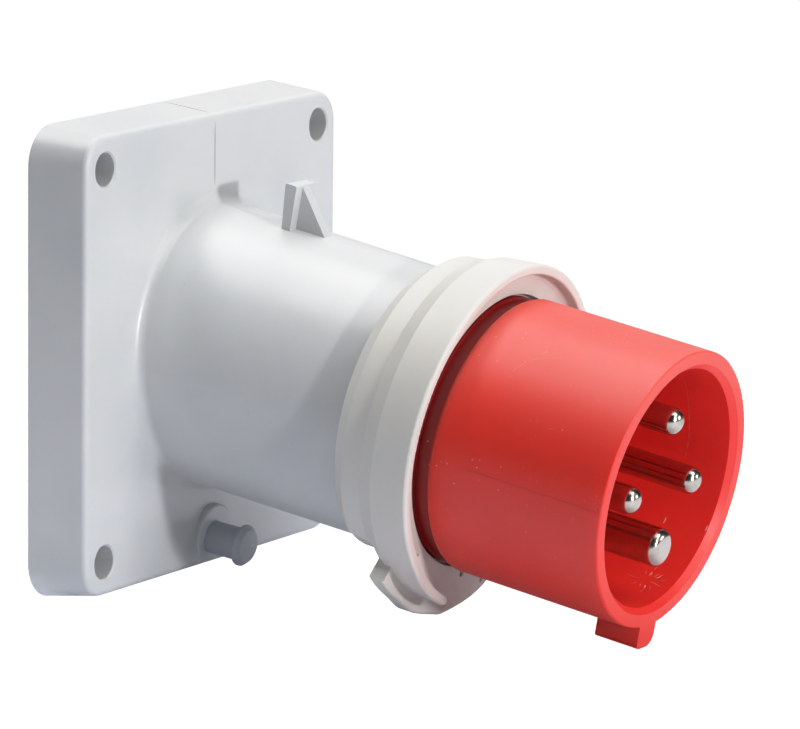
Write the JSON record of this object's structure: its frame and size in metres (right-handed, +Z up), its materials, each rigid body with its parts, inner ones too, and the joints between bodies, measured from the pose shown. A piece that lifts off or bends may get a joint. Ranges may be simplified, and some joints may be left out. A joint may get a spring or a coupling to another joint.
{
  "type": "pin and sleeve inlet",
  "caption": "Angled pin and sleeve power inlet: square screw flange, round neck, turning bayonet ring, keyed red sleeve and domed contact pins.",
  "frame": {"origin": "centre of the flange's rear face, on the panel plane", "axes": "+Z up, the sleeve points along -Y and 10 degrees down, +Y points into the panel"},
  "size_m": [0.0844, 0.1103, 0.0877],
  "materials": {
    "housing_grey": "glossy moulded",
    "ring_grey": "satin moulded",
    "stud_grey": "satin moulded",
    "signal_red": "glossy moulded",
    "block_grey": "matt moulded",
    "seal_rubber": "matt",
    "nickel": "bright nickel plate",
    "steel": "zinc plate"
  },
  "bodies": {
    "inlet": {"housing": "housing_grey", "flange_seal": "seal_rubber", "strap_stud": "stud_grey", "ring_stop_pin": "steel", "shroud": "signal_red", "neck_seal": "seal_rubber", "terminal_block": "block_grey", "block_screw": "steel", "insert_screws": "steel", "l1_pin": "nickel", "l1_wire_guard": "steel", "l2_pin": "nickel", "l2_wire_guard": "steel", "l3_pin": "nickel", "l3_wire_guard": "steel", "earth_pin": "nickel", "earth_wire_guard": "steel", "earth_terminal_screw": "steel", "phase_terminal_screws": "steel"},
    "ring": {"bayonet_ring": "ring_grey"}
  },
  "joints": [
    {"name": "ring_turn", "type": "hinge", "parent": "inlet", "child": "ring", "pos_m": [0, -0.06303, -0.00949], "axis": [0, 0.9848, 0.1736], "range_deg": [0, 40]}
  ]
}
